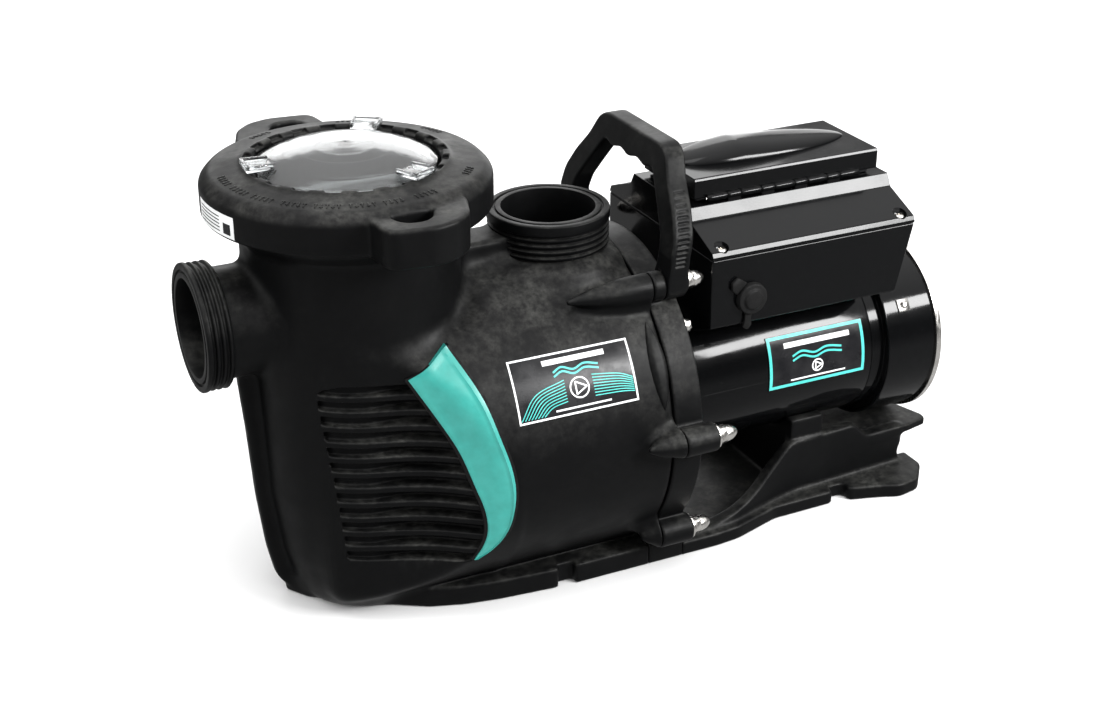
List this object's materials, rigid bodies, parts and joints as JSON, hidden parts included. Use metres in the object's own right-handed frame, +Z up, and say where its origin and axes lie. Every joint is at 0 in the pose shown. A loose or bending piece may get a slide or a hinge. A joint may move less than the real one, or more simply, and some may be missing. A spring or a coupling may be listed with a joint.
{
  "type": "pool pump",
  "caption": "Self-priming pool pump: strainer pot with clear lid, round volute, finned flanks, and a shrouded motor under a keypad drive.",
  "frame": {"origin": "underside of the base, straight below the axis of the discharge port", "axes": "+X along the shaft from the strainer pot towards the motor, +Z up, +Y across the pump"},
  "size_m": [0.72, 0.3396, 0.4105],
  "materials": {
    "moulded_plastic": "black glass-filled plastic, dull with a dusty grey sheen",
    "gloss_plastic": "black plastic, polished",
    "black_paint": "gloss black enamel",
    "teal_trim": "teal plastic, satin",
    "clear_plastic": "clear polycarbonate",
    "rubber": "black rubber",
    "stainless": "bright stainless steel",
    "ceramic": "white ceramic, lapped",
    "copper": "enamelled copper wire",
    "lamination": "dark steel laminations",
    "basket_plastic": "pale grey plastic, dull",
    "label": "printed film in black, white and teal",
    "circuit_board": "green lacquered board",
    "button": "grey rubberised plastic"
  },
  "bodies": {
    "casing": {"pump_body": "moulded_plastic", "seal_plate": "moulded_plastic", "carry_handle": "moulded_plastic", "diffuser": "moulded_plastic", "motor_base": "moulded_plastic", "cable_gland": "moulded_plastic", "drive_housing": "gloss_plastic", "drive_cover": "gloss_plastic", "front_end_bell": "black_paint", "motor_shell": "black_paint", "rear_end_bell": "black_paint", "fan_shroud": "black_paint", "stripe_near": "teal_trim", "stripe_far": "teal_trim", "display_window": "clear_plastic", "body_o_ring": "rubber", "drive_gasket": "rubber", "front_bearing": "stainless", "rear_bearing": "stainless", "hinge_pin": "stainless", "body_bolt_1": "stainless", "body_bolt_2": "stainless", "body_bolt_3": "stainless", "body_bolt_4": "stainless", "body_bolt_5": "stainless", "body_bolt_6": "stainless", "cover_screw_1": "stainless", "cover_screw_2": "stainless", "cover_screw_3": "stainless", "cover_screw_4": "stainless", "seal_seat": "ceramic", "stator_winding": "copper", "stator_core": "lamination", "wear_ring": "basket_plastic", "volute_label": "label", "motor_label": "label", "keypad_panel": "label", "control_board": "circuit_board"},
    "shaft": {"motor_shaft": "stainless", "impeller": "moulded_plastic", "impeller_screw": "stainless", "seal_head": "rubber", "seal_spring": "stainless", "rotor_core": "lamination", "cooling_fan": "moulded_plastic"},
    "lid": {"clear_lid": "clear_plastic", "lid_o_ring": "rubber"},
    "ring": {"clamp_ring": "moulded_plastic"},
    "basket": {"strainer_basket": "basket_plastic"},
    "keypad_lid": {"keypad_cover": "gloss_plastic"},
    "port_cap": {"port_cap": "rubber"},
    "pot_drain": {"pot_drain_plug": "moulded_plastic"},
    "volute_drain": {"volute_drain_plug": "moulded_plastic"},
    "button_speed_1": {"button_speed_1": "button"},
    "button_speed_2": {"button_speed_2": "button"},
    "button_speed_3": {"button_speed_3": "button"},
    "button_speed_4": {"button_speed_4": "button"},
    "button_up": {"button_up": "button"},
    "button_down": {"button_down": "button"},
    "button_start": {"button_start": "button"}
  },
  "joints": [
    {"name": "shaft_spin", "type": "hinge", "parent": "casing", "child": "shaft", "pos_m": [0, 0, 0.143], "axis": [1, 0, 0], "continuous": true},
    {"name": "lid_lift", "type": "slide", "parent": "casing", "child": "lid", "axis": [0, 0, 1], "range_m": [0, 0.38]},
    {"name": "ring_turn", "type": "hinge", "parent": "lid", "child": "ring", "pos_m": [-0.184, 0, 0.357], "axis": [0, 0, 1], "range_deg": [0, 90]},
    {"name": "basket_lift", "type": "slide", "parent": "casing", "child": "basket", "axis": [0, 0, 1], "range_m": [0, 0.19]},
    {"name": "keypad_open", "type": "hinge", "parent": "casing", "child": "keypad_lid", "pos_m": [0.218, -0.0475, 0.325], "axis": [1, 0, 0], "range_deg": [0, 115]},
    {"name": "port_cap_pull", "type": "slide", "parent": "casing", "child": "port_cap", "axis": [0, -1, 0], "range_m": [0, 0.03]},
    {"name": "pot_drain_pull", "type": "slide", "parent": "casing", "child": "pot_drain", "axis": [0, 1, 0], "range_m": [0, 0.05]},
    {"name": "volute_drain_pull", "type": "slide", "parent": "casing", "child": "volute_drain", "axis": [0, 1, 0], "range_m": [0, 0.05]},
    {"name": "press_speed_1", "type": "slide", "parent": "casing", "child": "button_speed_1", "axis": [0, 0, -1], "range_m": [0, 0.0007], "stiffness_N_per_m": 900},
    {"name": "press_speed_2", "type": "slide", "parent": "casing", "child": "button_speed_2", "axis": [0, 0, -1], "range_m": [0, 0.0007], "stiffness_N_per_m": 900},
    {"name": "press_speed_3", "type": "slide", "parent": "casing", "child": "button_speed_3", "axis": [0, 0, -1], "range_m": [0, 0.0007], "stiffness_N_per_m": 900},
    {"name": "press_speed_4", "type": "slide", "parent": "casing", "child": "button_speed_4", "axis": [0, 0, -1], "range_m": [0, 0.0007], "stiffness_N_per_m": 900},
    {"name": "press_up", "type": "slide", "parent": "casing", "child": "button_up", "axis": [0, 0, -1], "range_m": [0, 0.0007], "stiffness_N_per_m": 900},
    {"name": "press_down", "type": "slide", "parent": "casing", "child": "button_down", "axis": [0, 0, -1], "range_m": [0, 0.0007], "stiffness_N_per_m": 900},
    {"name": "press_start", "type": "slide", "parent": "casing", "child": "button_start", "axis": [0, 0, -1], "range_m": [0, 0.0007], "stiffness_N_per_m": 900}
  ],
  "couplings": [
    {"joint": "basket_lift", "follows": "lid_lift", "ratio": 0.5}
  ]
}
